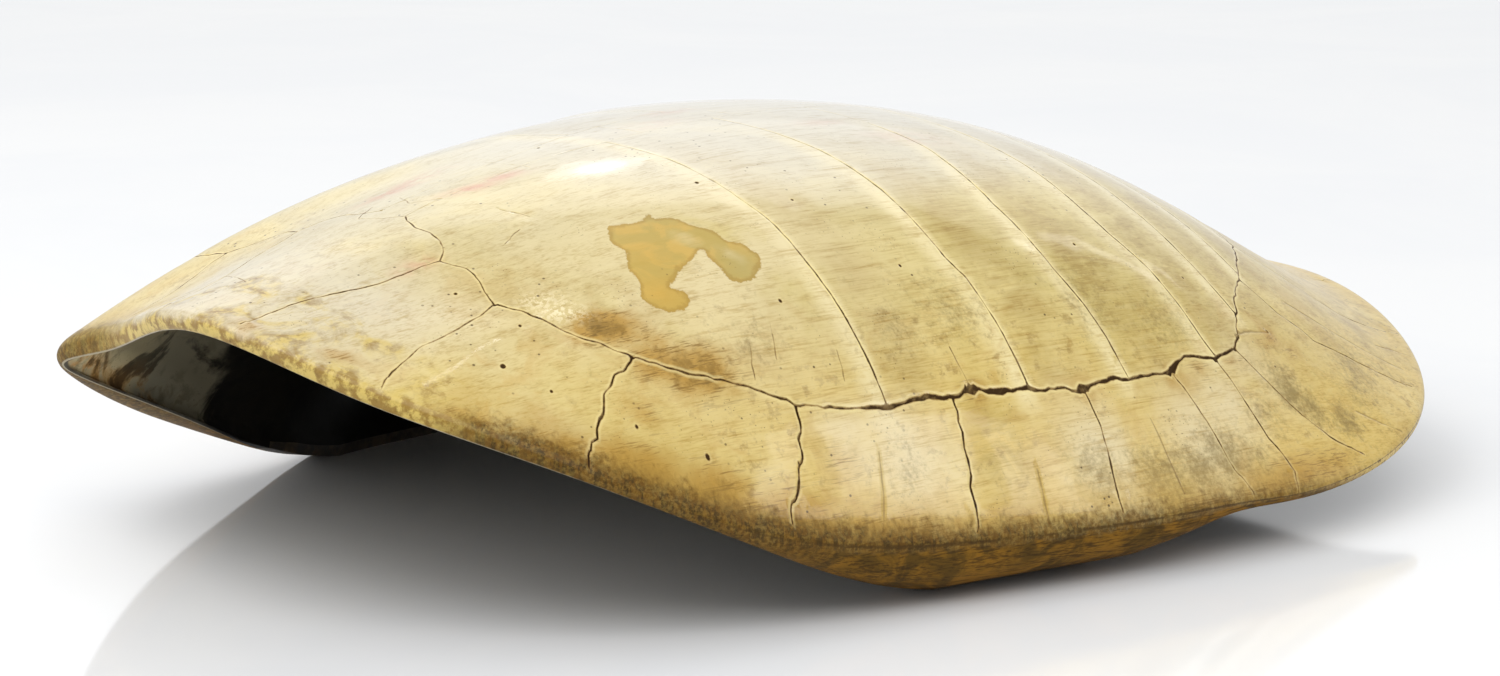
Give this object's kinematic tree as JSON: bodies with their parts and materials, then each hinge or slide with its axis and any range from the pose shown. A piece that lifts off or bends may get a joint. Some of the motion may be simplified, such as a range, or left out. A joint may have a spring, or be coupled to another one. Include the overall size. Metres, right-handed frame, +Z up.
{
  "type": "sea turtle shell",
  "caption": "Domed bone carapace of a large turtle, open underneath, resting on the sawn edges of its two bridges.",
  "frame": {"origin": "on the surface the shell rests on, under the middle of its bounding box", "axes": "+Z up, -X towards the head end, +X towards the tail; the shell's left side faces -Y"},
  "size_m": [0.78, 0.6238, 0.202],
  "materials": {
    "bone": "polished old bone, semi-gloss"
  },
  "bodies": {
    "root": {"carapace": "bone"}
  },
  "joints": []
}
